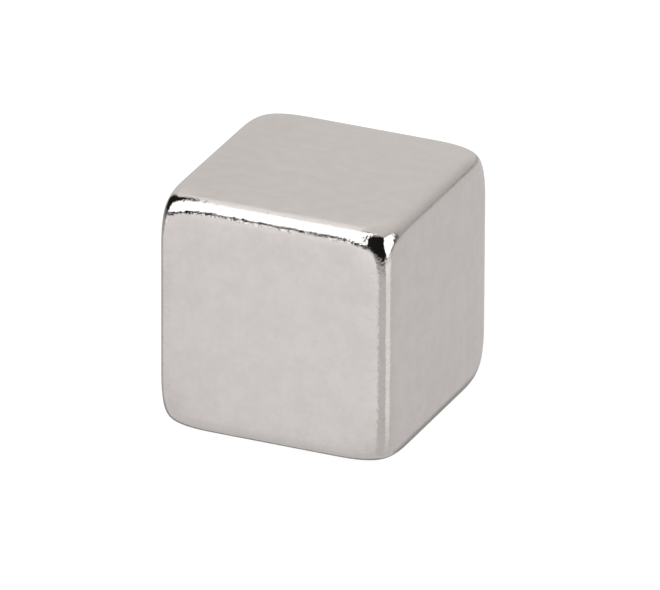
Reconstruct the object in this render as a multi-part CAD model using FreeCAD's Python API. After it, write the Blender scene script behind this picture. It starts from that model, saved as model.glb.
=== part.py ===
import FreeCAD, Part
import os
from itertools import product
from math import cos, log, pi, sin

# Block magnet: one sintered cube under bright nickel plating, tumbled before it was
# plated, so its edges are eased, its corners are worn further and the middle of each
# side is flat. Millimetres. The origin is the middle of the underside, +Z is up and
# the front is -Y.

# Driving dimensions
width = 10.0
depth = 10.0
height = 10.0

# How far in from where the sharp edge would be the side begins to fall away.
edge_reach = 2.5

# How far the middle of an edge lies in from each of its two sides.
edge_break = 0.18

# How far the tip of a corner lies in from each of its three sides.
corner_break = 0.4

# Sizes that follow: the flat middle of each side
flat_x = width / 2 - edge_reach
flat_y = depth / 2 - edge_reach
flat_z = height / 2 - edge_reach
middle = FreeCAD.Vector(0, 0, height / 2)

# With x, y and z measured in reaches from the corner of the flat middles, the skin is
# where x^n + y^n + z^n + wear (x y z)^(n/3) = 1. At z = 0 that is the section of an
# edge, between a circle and a square, and it leaves both sides with no jump in slope
# or in curvature. The wear draws in the corners alone.
sharpness = log(2) / -log(1 - edge_break / edge_reach)
corner_wear = (1 - corner_break / edge_reach) ** -sharpness - 3

# A quarter turn is fitted through this many spans, closer together at the tight middle.
SPANS = 14
CROWDING = 0.6
steps = [i / SPANS for i in range(SPANS + 1)]
angles = [pi / 2 * (step + CROWDING * sin(2 * pi * step) / (2 * pi)) for step in steps]
BOTH = (-1, 1)


def on_skin(x, y, z):
    """The point of the skin in this direction from the corner of the flat middles."""
    size = (x ** sharpness + y ** sharpness + z ** sharpness
            + corner_wear * (x * y * z) ** (sharpness / 3)) ** (1 / sharpness)
    return FreeCAD.Vector(x, y, z) * (edge_reach / size)


def fitted(points):
    """A smooth curve through points that follow the steps of the turn."""
    curve = Part.BSplineCurve()
    curve.interpolate(Points=points, Parameters=steps)
    return curve


def flat_side(corners):
    """The plane square in the middle of one side of the block."""
    return Part.Face(Part.makePolygon(corners + corners[:1]))


def rounded_edge(start, first, second, run):
    """A straight edge: its section, which turns from first to second, drawn along run."""
    section = []
    for angle in angles:
        point = on_skin(abs(cos(angle)), sin(angle), 0)
        section.append(start + first * point.x + second * point.y)
    return fitted(section).toShape().extrude(run)


def rounded_corner(start, signs):
    """A corner: level sections that climb from the upright edge and close on the flat top."""
    rows = []
    for climb in angles[:-1]:
        row = []
        for angle in angles:
            point = on_skin(abs(cos(angle)) * cos(climb), sin(angle) * cos(climb), sin(climb))
            row.append(start + FreeCAD.Vector(*[sign * along for sign, along in zip(signs, point)]))
        rows.append(fitted(row).getPoles())
    tip = start + FreeCAD.Vector(0, 0, signs[2] * edge_reach)
    rows.append([tip] * len(rows[0]))
    columns = [fitted(column) for column in zip(*rows)]
    knots = columns[0].getKnots()
    counts = columns[0].getMultiplicities()
    surface = Part.BSplineSurface()
    surface.buildFromPolesMultsKnots([column.getPoles() for column in columns],
                                     counts, counts, knots, knots, False, False, 3, 3)
    return surface.toShape()


def magnet_block():
    """The whole skin, side by side, closed into one solid."""
    axes = [FreeCAD.Vector(1, 0, 0), FreeCAD.Vector(0, 1, 0), FreeCAD.Vector(0, 0, 1)]
    flats = [flat_x, flat_y, flat_z]
    skin = []
    for i in range(3):
        j, k = (i + 1) % 3, (i + 2) % 3
        out, over, up = axes[i], axes[j], axes[k]
        for sign in BOTH:
            face = middle + out * (sign * (flats[i] + edge_reach))
            skin.append(flat_side([face + over * (a * flats[j]) + up * (b * flats[k])
                                   for a, b in ((-1, -1), (1, -1), (1, 1), (-1, 1))]))
        for sign_j, sign_k in product(BOTH, BOTH):
            start = middle + over * (sign_j * flats[j]) + up * (sign_k * flats[k]) - out * flats[i]
            skin.append(rounded_edge(start, over * sign_j, up * sign_k, out * (2 * flats[i])))
    for signs in product(BOTH, BOTH, BOTH):
        start = middle + FreeCAD.Vector(*[sign * flat for sign, flat in zip(signs, flats)])
        skin.append(rounded_corner(start, signs))
    shell = Part.makeShell(skin)
    shell.sewShape()
    return Part.makeSolid(shell)


os.makedirs("parts", exist_ok=True)
block = magnet_block()
block.exportStep("parts/magnet_block.step")
box = block.BoundBox
print(f"magnet_block {box.XLength:.3f} x {box.YLength:.3f} x {box.ZLength:.3f} mm,"
      f" {block.Volume:.2f} mm3, {len(block.Faces)} faces, valid {block.isValid()}")
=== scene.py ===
from math import cos, log, radians, sin, tan

import bmesh
import bpy
from mathutils import Matrix, Vector


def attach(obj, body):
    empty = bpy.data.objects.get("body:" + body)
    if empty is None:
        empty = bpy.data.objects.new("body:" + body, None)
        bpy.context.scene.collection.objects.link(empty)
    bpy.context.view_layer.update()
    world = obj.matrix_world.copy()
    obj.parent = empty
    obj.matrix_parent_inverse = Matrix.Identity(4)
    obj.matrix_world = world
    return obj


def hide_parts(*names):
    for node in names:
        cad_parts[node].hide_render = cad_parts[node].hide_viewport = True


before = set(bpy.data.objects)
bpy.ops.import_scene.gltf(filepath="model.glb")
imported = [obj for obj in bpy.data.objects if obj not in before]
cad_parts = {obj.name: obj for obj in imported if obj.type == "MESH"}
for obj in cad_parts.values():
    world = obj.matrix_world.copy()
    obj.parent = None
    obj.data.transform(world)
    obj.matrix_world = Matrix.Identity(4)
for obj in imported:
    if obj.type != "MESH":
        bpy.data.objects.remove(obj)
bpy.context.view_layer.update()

# Block magnet: a 10 mm cube under bright nickel plating, on a white table in a studio with
# two white panels. Metres, +Z up, the front is -Y and the origin is the middle of the underside.

# The block
SIDE = 0.010
REACH = 0.0025  # how far from an edge its rounding begins
EDGE_BREAK = 0.00018
CORNER_BREAK = 0.0004
FLAT = SIDE / 2 - REACH
SHARPNESS = log(2) / -log(1 - EDGE_BREAK / REACH)
CORNER_WEAR = (1 - CORNER_BREAK / REACH) ** -SHARPNESS - 3
MIDDLE = Vector((0, 0, SIDE / 2))

# Lines of the skin over the rounded rim: where it is nearly flat, as ratios, then by turn
NEARLY_FLAT = (0.15, 0.3, 0.42, 0.53)
RIM_STEPS = 30
MERGE_WITHIN = 1e-7

# The plating's relief: how deep on the flat sides and on the worn edges, and the noise's scale
DENTS = (0.0000005, 0.0000095)
DENT_SCALE = 9500.0
WAVES = (0.0000008, 0.00001)
WAVE_SCALE = 2200.0
GRAIN = (0.0000004, 0.000001)
GRAIN_SCALE = 20000.0
PIT_DEPTH = 0.0000012
PIT_SCALE = 900.0
PIT_SLOPE = (0.085, 0.03)
WORN_EDGE = (0.0039, 0.0047)
WORN_CORNER = (0.0037, 0.0044)
CORNER_SHARE = 0.5

# The plating's tone: from the deep to the pale colour by the mottling
DEEP_NICKEL = (0.646, 0.607, 0.588, 1)
PALE_NICKEL = (0.686, 0.647, 0.628, 1)
MOTTLE_SCALE = 1500.0
MOTTLE = (0.3, 0.7)
# Painted shade: the plating drawn darker low down and to the left, standing in for the dimmer
# table it mirrors there, which the studio's light by direction can't give
PAINTED_SHADE_LOW_ZONE = (0.0045, 0.0)
PAINTED_SHADE_LOW = 0.6
PAINTED_SHADE_LEFT_ZONE = (-0.001, -0.0042)
PAINTED_SHADE_LEFT = 0.5
ON_TOP = (0.009, 0.0098)
TOP_CALM = 0.22
PIT_TONE = 0.9
ROUGHNESS = (0.09, 0.13)
EDGE_POLISH = -0.04

# The table
TABLE_HALF = 1.5
TABLE_GLOW = 0.93
TABLE_SHADE = (0.2, 0.2, 0.2, 1)

# Brightness of what the plating mirrors, against plain white paper
PANEL = 2.0
BEHIND_CANOPY = 1.12
CEILING = 0.03
ROOM = 0.012
ROOM_OVERHEAD = 0.3
FRAME_TOP = 0.42
FRAME = 0.03
STRIP = 0.015
STRIP_TAIL = 0.02
GAP = 0.012
FAR_EDGE = 0.3
TABLE_OWN = 0.687
TABLE_GLOSS = 0.132
WALL_IMAGE = 0.35
FRONT_IMAGE = (2.62, 3.25)
SIDE_IMAGE = 3.8
BEHIND_SHARE = 0.5
WHITE = (1, 1, 1, 1)
TABLE_TINT = (1, 0.987, 0.979, 1)
WALL_TINT = (1.01, 1, 0.972, 1)

# The camera, as read from the outline of the block
CAMERA_TURN = 23.866
CAMERA_RISE = 24.557
CAMERA_ROLL = 0.2525
CAMERA_AWAY = 0.6002
SENSOR = 36.0
PIXELS_PER_METRE = 25335.1
BLOCK_AT = (323.48, 285.90)
PICTURE = (660, 590)


def new_nodes(owner):
    """The empty node tree of a material or a world."""
    owner.use_nodes = True
    owner.node_tree.nodes.clear()
    return owner.node_tree


def node(tree, kind, links=None, **settings):
    """One node with its settings. Links maps a socket to a number, a colour or another socket."""
    made = tree.nodes.new(kind)
    for name, value in settings.items():
        setattr(made, name, value)
    for socket, value in (links or {}).items():
        if isinstance(value, bpy.types.NodeSocket):
            tree.links.new(value, made.inputs[socket])
        else:
            made.inputs[socket].default_value = value
    return made


def maths(tree, operation, first, second=0.0):
    return node(tree, "ShaderNodeMath", {0: first, 1: second}, operation=operation).outputs[0]


def mapped(tree, value, low, high, to_low=0.0, to_high=1.0):
    """The value brought from one range to another, with soft ends."""
    made = node(tree, "ShaderNodeMapRange",
                {"Value": value, "From Min": low, "From Max": high,
                 "To Min": to_low, "To Max": to_high},
                interpolation_type="SMOOTHSTEP")
    return made.outputs["Result"]


# The skin of the block

def across_a_side():
    """Lines across one side as (sign, place on the flat middle, ratio on the rounded rim)."""
    turns = [radians(45 * step / RIM_STEPS) for step in range(1, RIM_STEPS)]
    rim = [*NEARLY_FLAT, *(tan(turn) ** (1 / (SHARPNESS - 1)) for turn in turns), 1.0]
    low = [(-1, -FLAT, ratio) for ratio in reversed(rim)]
    middle = [(1, place * FLAT, 0.0) for place in (-1, -0.5, 0, 0.5, 1)]
    high = [(1, FLAT, ratio) for ratio in rim]
    return low + middle + high


def skin_size(x, y, z):
    """How large the rounded rim is that passes through this point, from one at the skin."""
    return (x ** SHARPNESS + y ** SHARPNESS + z ** SHARPNESS
            + CORNER_WEAR * (x * y * z) ** (SHARPNESS / 3)) ** (1 / SHARPNESS)


def skin_normal(point):
    """The direction straight out of the skin at a point on it."""
    away = [max(abs(part) - FLAT, 0.0) / REACH for part in point]
    shared = CORNER_WEAR / 3 * (away[0] * away[1] * away[2]) ** (SHARPNESS / 3)
    slope = [part ** (SHARPNESS - 1) + (shared / part if part > 1e-6 else 0.0) for part in away]
    signed = [value if part >= 0 else -value for value, part in zip(slope, point)]
    return Vector(signed).normalized()


def side_of_block(mesh, out, over, up):
    """A grid over one side, from the middle of each edge to the middle of the next."""
    lines = across_a_side()
    grid = []
    for sign_b, place_b, ratio_b in lines:
        row = []
        for sign_a, place_a, ratio_a in lines:
            reach = REACH / skin_size(ratio_a, ratio_b, 1.0)
            point = (out * (FLAT + reach) + over * (place_a + sign_a * ratio_a * reach)
                     + up * (place_b + sign_b * ratio_b * reach))
            row.append(mesh.verts.new(point))
        grid.append(row)
    for lower, upper in zip(grid, grid[1:]):
        for i in range(len(lines) - 1):
            mesh.faces.new((lower[i], lower[i + 1], upper[i + 1], upper[i]))


def placed(name, mesh):
    """A new object in the scene with this mesh, which is used up."""
    data = bpy.data.meshes.new(name)
    mesh.to_mesh(data)
    mesh.free()
    made = bpy.data.objects.new(name, data)
    bpy.context.scene.collection.objects.link(made)
    return made


def magnet_block():
    """The eased cube as one closed skin, with its true normals."""
    mesh = bmesh.new()
    x, y, z = Vector((1, 0, 0)), Vector((0, 1, 0)), Vector((0, 0, 1))
    for out, over, up in ((x, y, z), (y, z, x), (z, x, y)):
        side_of_block(mesh, out, over, up)
        side_of_block(mesh, -out, up, over)
    bmesh.ops.remove_doubles(mesh, verts=mesh.verts, dist=MERGE_WITHIN)
    bmesh.ops.triangulate(mesh, faces=mesh.faces)
    block = placed("magnet_block_skin", mesh)
    data = block.data
    data.polygons.foreach_set("use_smooth", [True] * len(data.polygons))
    data.normals_split_custom_set_from_vertices([skin_normal(v.co) for v in data.vertices])
    data.transform(Matrix.Translation(MIDDLE))
    return block


# Finishes

def nickel_plating():
    """Bright nickel over a tumbled block: peened edges, fine grain, small pits, faint mottling,
    and painted shade low down and to the left.
    """
    material = bpy.data.materials.new("nickel_plating")
    tree = new_nodes(material)
    place = node(tree, "ShaderNodeTexCoord").outputs["Object"]

    def noise(scale, detail=1.0, roughness=0.5):
        made = node(tree, "ShaderNodeTexNoise",
                    {"Vector": place, "Scale": scale, "Detail": detail, "Roughness": roughness})
        return made.outputs["Fac"]

    def times(first, second):
        return maths(tree, "MULTIPLY", first, second)

    def less(first, second):
        return maths(tree, "SUBTRACT", first, second)

    def smaller(first, second):
        return maths(tree, "MINIMUM", first, second)

    def larger(first, second):
        return maths(tree, "MAXIMUM", first, second)

    # A spot's distances from the middle planes: the second greatest is great near an edge, and
    # the least of the three near a corner
    parts = node(tree, "ShaderNodeSeparateXYZ", {0: place}).outputs
    across = maths(tree, "ABSOLUTE", parts["X"])
    along = maths(tree, "ABSOLUTE", parts["Y"])
    upward = maths(tree, "ABSOLUTE", less(parts["Z"], SIDE / 2))
    second = larger(smaller(larger(across, along), upward), smaller(across, along))
    least = smaller(smaller(across, along), upward)
    worn = mapped(tree, second, *WORN_EDGE)
    calmer = mapped(tree, least, *WORN_CORNER, 1.0, CORNER_SHARE)

    # Pits, a few to a side
    cells = node(tree, "ShaderNodeTexVoronoi", {"Vector": place, "Scale": PIT_SCALE})
    pit = mapped(tree, cells.outputs["Distance"], *PIT_SLOPE)

    # Relief, in metres
    def depth(on_flat, on_edge):
        return mapped(tree, worn, 0.0, 1.0, on_flat, on_edge)

    dents = times(noise(DENT_SCALE), times(depth(*DENTS), calmer))
    waves = times(noise(WAVE_SCALE), times(depth(*WAVES), calmer))
    grain = times(noise(GRAIN_SCALE), depth(*GRAIN))
    relief = maths(tree, "ADD", maths(tree, "ADD", dents, waves), grain)
    relief = less(relief, times(pit, PIT_DEPTH))
    bump = node(tree, "ShaderNodeBump", {"Height": relief, "Strength": 1.0, "Distance": 1.0})

    # Tone: mottling, calmer on the top, deeper in the pits, and deeper low down and to the left by
    # painted shade
    mottle = noise(MOTTLE_SCALE, 3.0, 0.65)
    calm = times(mapped(tree, parts["Z"], *ON_TOP), TOP_CALM)
    tone = mapped(tree, mottle, *MOTTLE, calm, less(1.0, calm))
    # Painted shade: darker low down and to the left, for the dimmer table mirrored there, which
    # the studio's light by direction can't give
    tone = less(tone, mapped(tree, parts["Z"], *PAINTED_SHADE_LOW_ZONE, 0.0, PAINTED_SHADE_LOW))
    tone = less(tone, mapped(tree, parts["X"], *PAINTED_SHADE_LEFT_ZONE, 0.0, PAINTED_SHADE_LEFT))
    tone = less(tone, times(pit, PIT_TONE))
    colour = node(tree, "ShaderNodeMix", {0: tone, 6: DEEP_NICKEL, 7: PALE_NICKEL},
                  data_type="RGBA", clamp_factor=False)

    # Gloss, brighter where tumbling has polished the edges
    gloss = maths(tree, "ADD", mapped(tree, mottle, *MOTTLE, *ROUGHNESS), times(worn, EDGE_POLISH))
    shader = node(tree, "ShaderNodeBsdfPrincipled",
                  {"Base Color": colour.outputs[2], "Metallic": 1.0, "Roughness": gloss,
                   "Normal": bump.outputs["Normal"]})
    node(tree, "ShaderNodeOutputMaterial", {"Surface": shader.outputs[0]})
    return material


def white_table():
    """Board lit to plain white by its own glow, with a faint shadow under the block."""
    material = bpy.data.materials.new("white_table")
    tree = new_nodes(material)
    glow = node(tree, "ShaderNodeEmission", {"Color": WHITE, "Strength": TABLE_GLOW})
    shade = node(tree, "ShaderNodeBsdfDiffuse", {"Color": TABLE_SHADE})
    lit = node(tree, "ShaderNodeAddShader", {0: glow.outputs[0], 1: shade.outputs[0]})
    node(tree, "ShaderNodeOutputMaterial", {"Surface": lit.outputs[0]})
    return material


# The studio

def studio_light():
    """Light by direction: two white panels, a pale wall behind, the dark of the room between,
    and below the horizon the white table with their soft image in its gloss.

    Turns are in degrees from the front to the right, rises in degrees from the horizon, and a
    mask is one inside what it is named after and nothing outside.
    """
    world = bpy.data.worlds.new("studio")
    bpy.context.scene.world = world
    tree = new_nodes(world)
    direction = node(tree, "ShaderNodeTexCoord").outputs["Generated"]
    parts = node(tree, "ShaderNodeSeparateXYZ", {0: direction}).outputs
    height = maths(tree, "ABSOLUTE", parts["Z"])
    mirrored = node(tree, "ShaderNodeCombineXYZ", {0: parts["X"], 1: parts["Y"], 2: height})
    bearing = node(tree, "ShaderNodeCombineXYZ", {0: parts["X"], 1: parts["Y"], 2: 0.0})
    bearing = node(tree, "ShaderNodeVectorMath", {0: bearing.outputs[0]}, operation="NORMALIZE")
    # Below the horizon all is an image in the table's gloss, so its edges are softer there
    haze = mapped(tree, parts["Z"], 0.0, -0.02, 0.0, 0.045)

    def dot(vector, other):
        made = node(tree, "ShaderNodeVectorMath", {0: vector, 1: other}, operation="DOT_PRODUCT")
        return made.outputs["Value"]

    def soft_step(value, edge, soft):
        """Rises from nothing to one across the edge, from soft before it to soft after it."""
        width = maths(tree, "ADD", haze, soft)
        low = maths(tree, "SUBTRACT", edge, width)
        return mapped(tree, value, low, maths(tree, "ADD", edge, width))

    def along(turn, lean):
        """How far a direction lies to the right of an upright edge at this turn, which leans."""
        return dot(mirrored.outputs[0], (cos(radians(turn)), sin(radians(turn)), -lean))

    def past(turn, lean, soft):
        """One to the right of that upright edge."""
        return soft_step(along(turn, lean), 0.0, soft)

    def over(rise, soft):
        return soft_step(height, sin(radians(rise)), soft)

    def turned_to(turn, near, far):
        """One within near degrees of this turn from the front, nothing beyond far degrees."""
        ahead = (sin(radians(turn)), -cos(radians(turn)), 0)
        return mapped(tree, dot(bearing.outputs[0], ahead), cos(radians(far)), cos(radians(near)))

    def toward(turn, rise, near, far):
        """One within near degrees of this turn and rise, nothing beyond far degrees."""
        flat = cos(radians(rise))
        ahead = (sin(radians(turn)) * flat, -cos(radians(turn)) * flat, sin(radians(rise)))
        return mapped(tree, dot(direction, ahead), cos(radians(far)), cos(radians(near)))

    def between(value, low, high, soft_low, soft_high):
        return both(soft_step(value, low, soft_low), without(soft_step(value, high, soft_high)))

    def without(mask):
        return maths(tree, "SUBTRACT", 1.0, mask)

    def both(*masks):
        result = masks[0]
        for mask in masks[1:]:
            result = maths(tree, "MULTIPLY", result, mask)
        return result

    def either(first, second):
        return maths(tree, "MAXIMUM", first, second)

    def blend(first, second, mask):
        return node(tree, "ShaderNodeMix", {0: mask, 2: first, 3: second}).outputs[0]

    # Upright edges: the key panel is the one in front, the fill panel the one to the right
    key_right = either(past(-5.5, 0.09, 0.02), past(0.5, -0.05, 0.02))
    key_left = past(-71, -0.44, 0.035)
    canopy_edge = past(-157, 0.09, 0.02)
    fill_left = both(past(65, 0.10, 0.04), past(49, 0.48, 0.03))
    fill_right = past(119, 0.29, 0.02)
    frame_right = past(129.5, 0.20, 0.02)
    back_wall = past(90, 0.24, 0.04)
    slope = along(11.5, -0.482)
    notch = both(past(-146, 0.0, 0.03), over(36, 0.03), without(soft_step(slope, 0.01, 0.01)))
    strip_left = either(past(-129, -0.10, 0.04), notch)

    # What they bound
    front_panel = both(key_left, without(key_right))
    fill_panel = both(fill_left, without(fill_right), past(80, -1.6, 0.04), past(0, 0.51, 0.03))
    canopy = both(without(key_right), past(-157, 0.0, 0.03))
    overhead = both(canopy, canopy_edge)
    rim = both(without(canopy_edge), past(-164, 0.05, 0.02), over(56, 0.03))
    ceiling = either(rim, both(without(overhead), without(back_wall)))
    frame_side = both(fill_left, without(frame_right))
    tail = both(between(slope, -0.014, 0.018, 0.01, 0.01), past(-147, 0.0, 0.03),
                without(over(56, 0.03)), without(past(-118, 0.0, 0.05)))

    # Above the horizon: the wall, and each thing laid over those before it
    wall = mapped(tree, along(170, 0.0), -1.05, 0.45, 0.45, 0.784)
    sky = both(wall, mapped(tree, height, 0.02, 0.30, 0.93, 1.0))
    for strength, where in (
            (BEHIND_CANOPY, both(canopy, mapped(tree, height, 0.42, 0.60))),
            (PANEL, both(overhead, mapped(tree, height, 0.70, 1.0))),
            (CEILING, ceiling),
            (FRAME_TOP, both(frame_side, without(over(46, 0.08)))),
            (FRAME, both(frame_side, without(over(20, 0.15)))),
            (ROOM, both(key_right, without(fill_left), without(back_wall))),
            (ROOM_OVERHEAD, toward(180, 82, 7, 10)),
            (STRIP, both(strip_left, without(key_left), without(over(49, 0.02)))),
            (STRIP_TAIL, tail),
            (PANEL, front_panel),
            (PANEL, fill_panel)):
        sky = blend(sky, strength, where)

    # Below it: the table's own white and the soft image of the studio in its gloss
    front_image = both(past(-72, -0.36, 0.06), without(past(-3, 0.15, 0.03)))
    side_image = both(past(54, 0.36, 0.04), without(past(111, 0.10, 0.07)))
    dark_image = both(past(-3, 0.15, 0.03), without(past(54, 0.36, 0.04)))
    strip_image = both(past(-122, -0.30, 0.10), without(past(-72, -0.36, 0.06)))
    frame_image = both(past(111, 0.20, 0.04), without(frame_right))
    front_light = mapped(tree, along(-20, 0.0), -0.30, 0.15, *FRONT_IMAGE)
    image = blend(blend(WALL_IMAGE, front_light, front_image), 0.0, dark_image)
    image = blend(image, SIDE_IMAGE, side_image)
    gloss = mapped(tree, parts["Z"], -1.0, 0.0, 0.0, TABLE_GLOSS)
    table_light = maths(tree, "ADD", TABLE_OWN, maths(tree, "MULTIPLY", image, gloss))

    # Shares taken off the table's light, more and more from one height to the other
    for share, low, high, where in (
            (0.26, -0.23, -0.03, without(front_image)),
            (0.25, -0.20, -0.02, side_image),
            (0.38, -0.40, -0.16, dark_image),
            (0.97, -0.095, -0.065, dark_image),
            (-0.07, -0.60, -0.70, front_image),
            (0.82, -0.60, 0.05, strip_image),
            (0.65, -0.17, -0.05, frame_image),
            (-0.40, -0.22, -0.05, both(front_image, without(turned_to(-22, 14, 37))))):
        taken = both(mapped(tree, parts["Z"], low, high), where)
        table_light = both(table_light, without(maths(tree, "MULTIPLY", share, taken)))

    # The darker line along the foot of the block, where it mirrors the table behind it
    behind = both(mapped(tree, parts["Y"], 0.0, 0.25), mapped(tree, parts["Z"], -0.44, -0.53),
                  mapped(tree, parts["X"], 0.38, 0.18))
    beside = both(mapped(tree, parts["X"], -0.1, 0.1), mapped(tree, parts["Z"], -0.62, -0.74))
    taken = both(behind, without(beside))
    table_light = both(table_light, without(maths(tree, "MULTIPLY", BEHIND_SHARE, taken)))

    # The dark gap between the table's edge and the foot of the front panel, highest in its
    # middle, and the thin dark line of the table's far edge
    arch = turned_to(-22, 2, 5)
    gap_low = blend(-0.095, 0.05, arch)
    gap_high = blend(blend(0.014, 0.16, turned_to(-20, 12, 19)), 0.35, arch)
    gap = both(between(parts["Z"], gap_low, gap_high, 0.01, 0.012), key_left, without(key_right))
    far_edge = both(between(parts["Z"], -0.03, 0.014, 0.01, 0.01), turned_to(152, 24, 34))

    is_sky = mapped(tree, parts["Z"], -0.05, -0.03)
    light = blend(blend(table_light, sky, is_sky), GAP, gap)
    light = blend(light, FAR_EDGE, far_edge)

    # Colour: white panels, a slightly warm wall and a slightly rosy table beside the panel's image
    def tinted(before, colour, mask):
        made = node(tree, "ShaderNodeMix", {0: mask, 6: before, 7: colour}, data_type="RGBA")
        return made.outputs[2]

    tint = tinted(WHITE, TABLE_TINT, without(front_image))
    tint = tinted(tint, WHITE, is_sky)
    tint = tinted(tint, WALL_TINT, both(is_sky, mapped(tree, sky, 1.05, 0.85)))

    seen = node(tree, "ShaderNodeBackground", {"Color": WHITE, "Strength": 1.0})
    lit = node(tree, "ShaderNodeBackground", {"Color": tint, "Strength": light})
    path = node(tree, "ShaderNodeLightPath")
    mixed = node(tree, "ShaderNodeMixShader",
                 {0: path.outputs["Is Camera Ray"], 1: lit.outputs[0], 2: seen.outputs[0]})
    node(tree, "ShaderNodeOutputWorld", {"Surface": mixed.outputs[0]})


def table_top():
    """The plain table. Reflections don't see it: the studio's lower half stands for it there."""
    mesh = bmesh.new()
    bmesh.ops.create_grid(mesh, x_segments=1, y_segments=1, size=TABLE_HALF)
    table = placed("table_top", mesh)
    table.visible_glossy = False
    return table


def photo_camera():
    """The camera at the photograph's angle, aimed so that the block sits where it does there."""
    turn, rise, roll = radians(CAMERA_TURN), radians(CAMERA_RISE), radians(CAMERA_ROLL)
    back = Vector((sin(turn) * cos(rise), -cos(turn) * cos(rise), sin(rise)))
    right = Vector((cos(turn), sin(turn), 0))
    up = back.cross(right)
    right, up = right * cos(roll) + up * sin(roll), up * cos(roll) - right * sin(roll)
    shift_x = (PICTURE[0] / 2 - BLOCK_AT[0]) / PIXELS_PER_METRE
    shift_y = (BLOCK_AT[1] - PICTURE[1] / 2) / PIXELS_PER_METRE
    target = MIDDLE + right * shift_x + up * shift_y
    data = bpy.data.cameras.new("photo_camera")
    data.sensor_fit = "HORIZONTAL"
    data.sensor_width = SENSOR
    data.lens = PIXELS_PER_METRE * CAMERA_AWAY * SENSOR / PICTURE[0]
    data.clip_start = 0.01
    data.clip_end = 50.0
    camera = bpy.data.objects.new("photo_camera", data)
    bpy.context.scene.collection.objects.link(camera)
    turned = Matrix((right, up, back)).transposed().to_4x4()
    camera.matrix_world = Matrix.Translation(target + back * CAMERA_AWAY) @ turned
    bpy.context.scene.camera = camera


block = magnet_block()
block.data.materials.append(nickel_plating())
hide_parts("magnet_block")
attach(block, "root")

table = table_top()
table.data.materials.append(white_table())

studio_light()
photo_camera()
bpy.context.scene.view_settings.view_transform = "Standard"
